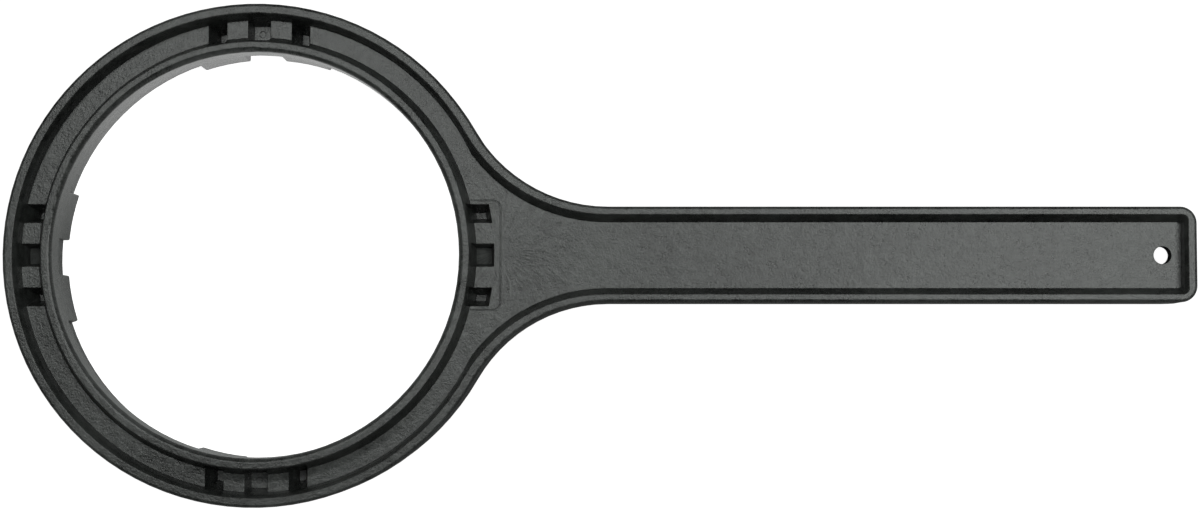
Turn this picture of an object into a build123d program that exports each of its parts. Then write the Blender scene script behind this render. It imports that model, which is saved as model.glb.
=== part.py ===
from build123d import *
import math
import os

# Ring wrench for water-filter housings: one plastic moulding, in millimetres.
# The ring's axis is Z through the origin, the handle runs along +X, the flat underside is z = 0
# and the open, channelled face looks up.

# Driving dimensions: outline, at the parting line half way up
overall_length = 300.0
ring_radius = 63.5
handle_width = 24.35
neck_radius = 38.6
end_corner_radius = 4.3
height = 20.0
outer_draft = 1.0

# Bore: a plain band under the upper face, and a wider recess below it that leaves the lugs standing
bore_radius = 51.1
recess_radius = 53.1
recess_height = 12.5

# Upper channel, open on the upper face
channel_depth = 5.0
ring_rim = 2.6
handle_rim = 2.2
end_rim = 2.4
inner_rim = 2.6
channel_wall_lean = 1.6
ring_wall_lean = 1.15
ring_wall_step = 0.35
end_wall_lean = 0.6
channel_corner_radius = 1.4

# Web under the channel, and the lower channel under the web
web_thickness = 3.5
lower_wall = 2.7
lower_end_wall = 2.0
lower_draft = 1.0
lower_corner_radius = 1.4

# Stations: four groups of cored pockets and gripping lugs, a quarter turn apart
station_angles = (0, 90, 180, 270)
block_half_width = 15.8
handle_block_end = 61.2
handle_block_half_width = 13.7
pocket_inner_radius = 54.2
pocket_outer_radius = 59.8
side_pocket_from = 8.2
side_pocket_to = 12.9
side_pocket_depth = 9.5
centre_pocket_half_width = 2.9
centre_pocket_depth = 5.4
pocket_draft = 9.0
dimple_radius = 0.8
dimple_depth = 0.35
dimple_angles = (90, 270)

# Lugs: each stands out of the recess between a line parallel to the station's radius and a radial line
lug_radius = 51.6
lug_from = 4.6
lug_to_angle = 18.4
lug_root = 0.8
lug_tip_radius = 0.4

# Hanging hole through the web
hole_radius = 2.25
hole_x = 228.8

# Mould insert witness line on the web, at the handle station
witness_corner_radius = 2.0
witness_width = 0.3
witness_depth = 0.15

# Rounds along the edges of both faces
bore_round = 1.2
outer_round = 0.8
underside_round = 0.35
channel_round = 0.25

# Margins used to pick edges and corners
clearance = 1.0
face_tolerance = 0.01

# Levels worked out from them
web_top = height - channel_depth
web_bottom = web_top - web_thickness
handle_end = overall_length - ring_radius
channel_inner_radius = bore_radius + inner_rim
channel_draft = math.degrees(math.atan(channel_wall_lean / channel_depth))


def disc(radius):
    """A circle whose seam lies away from +X, where the station outlines cross it."""
    return Rot(0, 0, 180) * Circle(radius)


def drum(radius, low, high):
    """A cylinder on the ring's axis, between two levels."""
    return Pos(0, 0, low) * extrude(disc(radius), high - low)


def outline(ring_inset, side_inset, end_inset, corner_radius):
    """Plan of ring, neck and handle, drawn this far inside the outer edge."""
    end = handle_end - end_inset
    bar = Pos(end / 2, 0) * Rectangle(end, handle_width - 2 * side_inset)
    plan = disc(ring_radius - ring_inset) + bar
    necks = plan.vertices().filter_by(lambda v: v.X < end - clearance)
    plan = fillet(necks, neck_radius + side_inset)
    corners = plan.vertices().filter_by(lambda v: v.X > end - clearance)
    return fillet(corners, corner_radius)


def sunk(plan, level, depth, draft):
    """Cutter that narrows downwards from a plan, turned over about X and placed at a level."""
    return Pos(0, 0, level) * Rot(180, 0, 0) * extrude(plan, depth, taper=draft)


def strip(t_from, t_to, inner, outer):
    """Part of a ring that lies between two lines parallel to the station's own radius, +X."""
    lane = Pos(outer / 2, (t_from + t_to) / 2) * Rectangle(outer, t_to - t_from)
    return (disc(outer) - disc(inner)) & lane


def level_edges(solid, level):
    """Edges of a solid that lie in one horizontal plane."""
    flat = solid.edges().filter_by(lambda e: e.bounding_box().size.Z < face_tolerance)
    return flat.filter_by(lambda e: abs(e.center().Z - level) < face_tolerance)


def is_bore(edge):
    """Whether a level edge is the bore's full circle."""
    return edge.geom_type == GeomType.CIRCLE and abs(edge.radius - bore_radius) < face_tolerance


def blank():
    """Outer walls, drafted both ways from the parting line, and the bore with its recess."""
    half = extrude(outline(0, 0, 0, end_corner_radius), height / 2, taper=outer_draft)
    solid = Pos(0, 0, height / 2) * (half + mirror(half, Plane.XY))
    solid -= drum(bore_radius, -clearance, height + clearance)
    solid -= drum(recess_radius, -clearance, recess_height)
    upper_edges = level_edges(solid, height)
    bore_edge = upper_edges.filter_by(is_bore)
    solid = fillet(upper_edges - bore_edge, outer_round)
    bore_edge = level_edges(solid, height).filter_by(is_bore)
    solid = fillet(bore_edge, bore_round)
    return fillet(level_edges(solid, 0), underside_round)


def upper_channel():
    """One continuous drafted channel round the ring and along the handle."""
    plan = outline(ring_rim, handle_rim, end_rim, channel_corner_radius)
    ring_edge = ring_radius - ring_rim
    ring = Cone(ring_edge - ring_wall_lean, ring_edge - ring_wall_step, channel_depth)
    ring = Pos(0, 0, height - channel_depth / 2) * ring
    core = Cone(channel_inner_radius + channel_wall_lean, channel_inner_radius, channel_depth)
    core = Pos(0, 0, height - channel_depth / 2) * core
    floor_width = handle_width - 2 * (handle_rim + channel_wall_lean)
    floor_end = handle_end - end_rim - end_wall_lean
    steep_end = Pos(floor_end - floor_width / 2, 0, web_top) * Box(
        floor_width, floor_width, channel_depth, align=(Align.CENTER, Align.CENTER, Align.MIN)
    )
    return sunk(plan, height, channel_depth, channel_draft) + ring - core + steep_end


def station_block():
    """Solid stretch of the ring's section that backs the pockets and the lugs."""
    plan = strip(-block_half_width, block_half_width, recess_radius, ring_radius - clearance)
    return extrude(plan, web_bottom)


def handle_block():
    """The same at the handle, where it ends square on the mould insert's outline."""
    block = Pos(handle_block_end / 2, 0) * Rectangle(handle_block_end, 2 * handle_block_half_width)
    return extrude(block - disc(recess_radius), web_bottom)


def lower_channel():
    """Cored space under the web, left out at the four stations."""
    plan = outline(lower_wall, lower_wall, lower_end_wall, lower_corner_radius)
    space = extrude(plan, web_bottom, taper=lower_draft)
    lean = web_bottom * math.tan(math.radians(lower_draft))
    inner = recess_radius + lower_wall
    space -= Pos(0, 0, web_bottom / 2) * Cone(inner, inner + lean, web_bottom)
    for angle in station_angles[1:]:
        space -= Rot(0, 0, angle) * station_block()
    return space - handle_block()


def pocket(t_from, t_to, depth):
    """Blind drafted pocket in the web, with the channel's inner wall cut back above it."""
    plan = strip(t_from, t_to, pocket_inner_radius, pocket_outer_radius)
    mirrored = strip(-t_to, -t_from, pocket_inner_radius, pocket_outer_radius)
    relief = Pos(0, 0, web_top) * extrude(mirrored, channel_depth - outer_round)
    return relief + sunk(plan, web_top, depth, pocket_draft)


def station_pockets():
    """Two deep side pockets and a shallower centre pocket."""
    return [
        pocket(side_pocket_from, side_pocket_to, side_pocket_depth),
        pocket(-side_pocket_to, -side_pocket_from, side_pocket_depth),
        pocket(-centre_pocket_half_width, centre_pocket_half_width, centre_pocket_depth),
    ]


def dimple():
    """Plain round mark in the floor of a centre pocket."""
    middle = (pocket_inner_radius + pocket_outer_radius) / 2
    floor = web_top - centre_pocket_depth
    return Pos(middle, 0, floor) * Cylinder(dimple_radius, 2 * dimple_depth)


def lug():
    """One gripping lug, on the +Y side of a station."""
    root = recess_radius + lug_root
    slope = math.tan(math.radians(lug_to_angle))
    sector = make_face(Polyline(
        (lug_from / slope, lug_from), (root, lug_from), (root, root * slope), close=True
    ))
    plan = (disc(root) - disc(lug_radius)) & sector
    tips = plan.vertices().filter_by(lambda v: math.hypot(v.X, v.Y) < recess_radius)
    return extrude(fillet(tips, lug_tip_radius), recess_height)


def witness():
    """Fine line left by the mould insert on the web at the handle station."""
    end = handle_block_end + witness_width
    half_width = handle_block_half_width + witness_width
    outside = Pos(end / 2, 0) * RectangleRounded(end, 2 * half_width, witness_corner_radius)
    inside = Pos(handle_block_end / 2, 0) * RectangleRounded(
        handle_block_end, 2 * handle_block_half_width, witness_corner_radius - witness_width
    )
    groove = outside - inside - disc(channel_inner_radius + channel_wall_lean + witness_width)
    return Pos(0, 0, web_top - witness_depth) * extrude(groove, 2 * witness_depth)


def wrench():
    """The whole moulding."""
    uncut = blank()
    solid = uncut - upper_channel()
    rim_edges = level_edges(solid, height) - level_edges(uncut, height)
    solid = fillet(rim_edges, channel_round) - lower_channel()
    for angle in station_angles:
        turn = Rot(0, 0, angle)
        solid = solid + turn * lug() + turn * mirror(lug(), Plane.XZ)
        for cutter in station_pockets():
            solid -= turn * cutter
    for angle in dimple_angles:
        solid -= Rot(0, 0, angle) * dimple()
    solid -= witness()
    return solid - Pos(hole_x, 0, web_top) * Cylinder(hole_radius, 4 * web_thickness)


os.makedirs("parts", exist_ok=True)
part = wrench()
print("volume cm3", round(part.volume / 1000, 2), "valid", part.is_valid)
export_step(part, "parts/wrench_body.step")
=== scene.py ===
import math

import bpy
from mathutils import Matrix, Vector


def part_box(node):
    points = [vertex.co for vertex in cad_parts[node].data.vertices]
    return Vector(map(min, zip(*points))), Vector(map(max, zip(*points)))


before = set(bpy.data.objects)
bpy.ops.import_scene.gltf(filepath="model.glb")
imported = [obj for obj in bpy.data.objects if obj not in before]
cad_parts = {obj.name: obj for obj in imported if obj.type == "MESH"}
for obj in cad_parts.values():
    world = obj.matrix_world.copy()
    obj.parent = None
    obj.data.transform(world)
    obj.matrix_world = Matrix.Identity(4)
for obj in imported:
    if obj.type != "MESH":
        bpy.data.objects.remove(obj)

MM = 0.001

# Camera: height above the upper face, width of the picture there, and offsets from the tool's middle
CAMERA_HEIGHT = 0.531
FRAME_WIDTH = 0.3003
CAMERA_SHIFT = 0.05 * MM
CAMERA_BACK = 26 * MM
TARGET_BACK = 0.45 * MM

# Room and floor, as brightness against a white of 1
HORIZON = 0.65
OVERHEAD = 0.03
PAPER_INSIDE_RING = 0.9
PAPER_OUTSIDE_RING = 0.18
# Painted bounce light: strength of the glow the floor gives off inside the ring, unseen by the
# camera
PAINTED_BOUNCE_GLOW = 0.7

# Softboxes hang level above the table
SOFTBOX_HEIGHT = 1.2
SOFTBOX_TINT = (0.965, 1.0, 0.975)

# Plastic: noise scales per metre, relief heights in millimetres
GRAIN_SCALE, MOTTLE_SCALE, CLOUD_SCALE = 1900, 420, 38
GRAIN_RELIEF, MOTTLE_RELIEF, FLOW_RELIEF, WARP_RELIEF = 0.09, 0.11, 0.10, 0.3
DARKEST, LIGHTEST = (0.004, 0.0045, 0.0042, 1), (0.060, 0.064, 0.061, 1)

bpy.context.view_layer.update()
low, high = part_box("wrench_body")
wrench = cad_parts["wrench_body"]

# Places on the part: the ring's outer radius, the open face, and the gate on the channel's floor
ring_radius = (high[1] - low[1]) / 2
upper_face = high[2]
gate = Vector((ring_radius - 2.7 * MM, 1.3 * MM, 15 * MM))


class Graph:
    """A node tree that is built one named node at a time."""

    def __init__(self, tree):
        self.tree = tree
        tree.nodes.clear()

    def add(self, kind, inputs=None, **settings):
        node = self.tree.nodes.new(kind)
        for name, value in settings.items():
            setattr(node, name, value)
        for key, value in (inputs or {}).items():
            self.feed(node.inputs[key], value)
        return node

    def feed(self, socket, value):
        if isinstance(value, bpy.types.NodeSocket):
            self.tree.links.new(value, socket)
        else:
            socket.default_value = value

    def math(self, operation, *values, clamp=False):
        node = self.add("ShaderNodeMath", operation=operation, use_clamp=clamp)
        for socket, value in zip(node.inputs, values):
            self.feed(socket, value)
        return node.outputs[0]

    def noise(self, vector, scale, detail=2.0, roughness=0.5):
        inputs = {"Vector": vector, "Scale": scale, "Detail": detail, "Roughness": roughness}
        return self.add("ShaderNodeTexNoise", inputs).outputs["Fac"]

    def fade(self, value, start, end, to_low=0.0, to_high=1.0):
        """Value mapped smoothly from start..end onto to_low..to_high."""
        node = self.add("ShaderNodeMapRange", interpolation_type="SMOOTHSTEP")
        for socket, given in zip(node.inputs[:5], (value, start, end, to_low, to_high)):
            self.feed(socket, given)
        return node.outputs[0]


def moulded_plastic():
    """Dark satin plastic with moulded grain, mottling, and flow lines that spread from the gate."""
    material = bpy.data.materials.new("moulded_plastic")
    material.use_nodes = True
    g = Graph(material.node_tree)
    place = g.add("ShaderNodeTexCoord").outputs["Object"]

    grain = g.noise(place, GRAIN_SCALE, detail=3, roughness=0.6)
    mottle = g.noise(place, MOTTLE_SCALE, detail=4, roughness=0.6)
    cloud = g.noise(place, CLOUD_SCALE, detail=3, roughness=0.55)

    # Flow lines: wavy streaks by angle round the gate, on upward faces, fading out along the neck
    offset = g.add("ShaderNodeVectorMath", {0: place, 1: gate}, operation="SUBTRACT").outputs[0]
    parts = g.add("ShaderNodeSeparateXYZ", {0: offset}).outputs
    angle = g.math("ARCTAN2", parts["Y"], parts["X"])
    reach = g.add("ShaderNodeVectorMath", {0: offset}, operation="LENGTH").outputs["Value"]
    drift = g.math("ADD", angle, g.math("MULTIPLY", cloud, 0.9))
    polar = g.add("ShaderNodeCombineXYZ", {"X": g.math("MULTIPLY", drift, 5.0),
                                           "Y": g.math("MULTIPLY", reach, 90.0)}).outputs[0]
    streak = g.noise(polar, 2.2, detail=2.5, roughness=0.6)
    near = g.math("MULTIPLY", g.fade(reach, 1 * MM, 7 * MM),
                  g.fade(reach, 9 * MM, 32 * MM, 1.0, 0.0))
    upward = g.add("ShaderNodeSeparateXYZ",
                   {0: g.add("ShaderNodeNewGeometry").outputs["Normal"]}).outputs["Z"]
    flat = g.fade(upward, 0.8, 0.98)
    flow = g.math("MULTIPLY", g.math("MULTIPLY", g.math("SUBTRACT", streak, 0.5), near), flat)

    # Slight warp of the web on the lower right of the ring, highest against the inner wall
    spot = g.add("ShaderNodeSeparateXYZ", {0: place}).outputs
    radius = g.math("SQRT", g.math("ADD", g.math("POWER", spot["X"], 2.0),
                                   g.math("POWER", spot["Y"], 2.0)))
    bearing = g.math("ARCTAN2", spot["Y"], spot["X"])
    window = g.math("MULTIPLY", g.fade(bearing, math.radians(-115), math.radians(-90)),
                    g.fade(bearing, math.radians(-55), math.radians(-30), 1.0, 0.0))
    warp = g.math("MULTIPLY", g.fade(radius, 54 * MM, 57.5 * MM, 1.0, 0.0), window)

    tone = g.math("ADD", g.math("MULTIPLY", mottle, 0.5), g.math("MULTIPLY", cloud, 0.5))
    tone = g.math("ADD", tone, g.math("MULTIPLY", flow, 0.9), clamp=True)
    ramp = g.add("ShaderNodeValToRGB", {0: tone})
    for stop, position, color in zip(ramp.color_ramp.elements, (0.34, 0.68), (DARKEST, LIGHTEST)):
        stop.position = position
        stop.color = color

    rough = g.math("ADD", g.math("MULTIPLY", cloud, 0.10), g.math("MULTIPLY", grain, 0.10))
    rough = g.math("ADD", rough, 0.18)

    # Coarser floors in the two centre pockets that lie on the tool's long axis
    below_web = g.fade(spot["Z"], 12 * MM, 14 * MM, 1.0, 0.0)
    within = g.fade(radius, 60.5 * MM, 61.5 * MM, 1.0, 0.0)
    beyond = g.fade(radius, 53 * MM, 54 * MM)
    on_axis = g.fade(g.math("ABSOLUTE", spot["Y"]), 4 * MM, 6 * MM, 1.0, 0.0)
    pocket = g.math("MULTIPLY", g.math("MULTIPLY", below_web, within),
                    g.math("MULTIPLY", beyond, on_axis))
    rough = g.math("ADD", rough, g.math("MULTIPLY", pocket, 0.45))

    height = g.math("ADD", g.math("MULTIPLY", grain, GRAIN_RELIEF),
                    g.math("MULTIPLY", mottle, MOTTLE_RELIEF))
    height = g.math("ADD", height, g.math("MULTIPLY", flow, FLOW_RELIEF))
    height = g.math("ADD", height, g.math("MULTIPLY", warp, WARP_RELIEF))
    rounded = g.add("ShaderNodeBevel", {"Radius": 0.25 * MM}, samples=4).outputs[0]
    bump = g.add("ShaderNodeBump", {"Height": height, "Distance": MM, "Strength": 1.0,
                                    "Normal": rounded}).outputs[0]
    shader = g.add("ShaderNodeBsdfPrincipled", {
        "Base Color": ramp.outputs["Color"], "Roughness": rough, "Normal": bump,
        "IOR": 1.5, "Specular IOR Level": 0.5})
    g.add("ShaderNodeOutputMaterial", {"Surface": shader.outputs[0]})
    return material


def studio_floor():
    """Table top that the camera sees pure white. As a reflector it is bright only inside the ring,
    and there it also gives off a painted bounce glow to every ray but the camera's, most of all on
    the far side."""
    bpy.ops.mesh.primitive_plane_add(size=4.0, location=(0.08, 0, -0.2 * MM))
    floor = bpy.context.object
    floor.name = "floor"
    material = bpy.data.materials.new("white_table")
    material.use_nodes = True
    g = Graph(material.node_tree)
    seen = g.add("ShaderNodeLightPath").outputs["Is Camera Ray"]
    spot = g.add("ShaderNodeNewGeometry").outputs["Position"]
    across = g.add("ShaderNodeVectorMath", {0: spot}, operation="LENGTH").outputs["Value"]
    inside = g.fade(across, 0.9 * ring_radius, ring_radius, 1.0, 0.0)
    shade = g.fade(inside, 0.0, 1.0, PAPER_OUTSIDE_RING, PAPER_INSIDE_RING)
    # Painted bounce light: inside the ring the floor glows, most on the far side, for every ray but
    # the camera's
    far_side = g.fade(g.add("ShaderNodeSeparateXYZ", {0: spot}).outputs["Y"], 0, 0.7 * ring_radius)
    painted_bounce_glow = g.math("MULTIPLY", g.math("MULTIPLY", inside, far_side), PAINTED_BOUNCE_GLOW)
    glow = g.add("ShaderNodeEmission", {"Strength": g.math("MAXIMUM", seen, painted_bounce_glow)}).outputs[0]
    paper = g.add("ShaderNodeBsdfDiffuse", {"Color": shade}).outputs[0]
    both = g.add("ShaderNodeAddShader", {0: paper, 1: glow}).outputs[0]
    g.add("ShaderNodeOutputMaterial", {"Surface": both})
    floor.data.materials.append(material)


def softbox(name, x, y, size, radiance):
    """Rectangular soft light that faces straight down, given by how bright its face is."""
    data = bpy.data.lights.new(name, "AREA")
    data.shape = "RECTANGLE"
    data.size, data.size_y = size
    data.energy = radiance * math.pi * size[0] * size[1]
    data.color = SOFTBOX_TINT
    light = bpy.data.objects.new(name, data)
    light.location = (x, y, SOFTBOX_HEIGHT)
    bpy.context.scene.collection.objects.link(light)


def studio_world():
    """Room that is dark overhead and brighter near the horizon. The camera sees it white."""
    world = bpy.data.worlds.new("room")
    bpy.context.scene.world = world
    world.use_nodes = True
    g = Graph(world.node_tree)
    direction = g.add("ShaderNodeTexCoord").outputs["Generated"]
    climb = g.add("ShaderNodeSeparateXYZ", {0: direction}).outputs["Z"]
    glow = g.fade(climb, 0.05, 0.4, HORIZON, OVERHEAD)
    room = g.add("ShaderNodeBackground", {"Color": (1, 1, 1, 1), "Strength": glow}).outputs[0]
    backdrop = g.add("ShaderNodeBackground", {"Color": (1, 1, 1, 1), "Strength": 1.0}).outputs[0]
    seen = g.add("ShaderNodeLightPath").outputs["Is Camera Ray"]
    mix = g.add("ShaderNodeMixShader", {0: seen, 1: room, 2: backdrop}).outputs[0]
    g.add("ShaderNodeOutputWorld", {"Surface": mix})


def camera():
    """Camera above the open face, a little below the long axis and leaning back to it."""
    data = bpy.data.cameras.new("camera")
    data.sensor_width = 36.0
    data.lens = data.sensor_width * CAMERA_HEIGHT / FRAME_WIDTH
    cam = bpy.data.objects.new("camera", data)
    bpy.context.scene.collection.objects.link(cam)
    middle = (low[0] + high[0]) / 2 + CAMERA_SHIFT
    target = Vector((middle, -TARGET_BACK, upper_face))
    cam.location = (middle, -CAMERA_BACK, upper_face + CAMERA_HEIGHT)
    cam.rotation_euler = (target - cam.location).to_track_quat("-Z", "Y").to_euler()
    data.clip_start, data.clip_end = 0.01, 20
    bpy.context.scene.camera = cam


finish = moulded_plastic()
for slot in wrench.material_slots:
    slot.material = finish

studio_floor()
studio_world()
softbox("right_softbox", 0.51, 0.1, (0.54, 0.7), 5.5)
softbox("left_softbox", -0.19, 0.25, (0.38, 0.5), 5.8)
camera()

scene = bpy.context.scene
scene.view_settings.view_transform = "Standard"
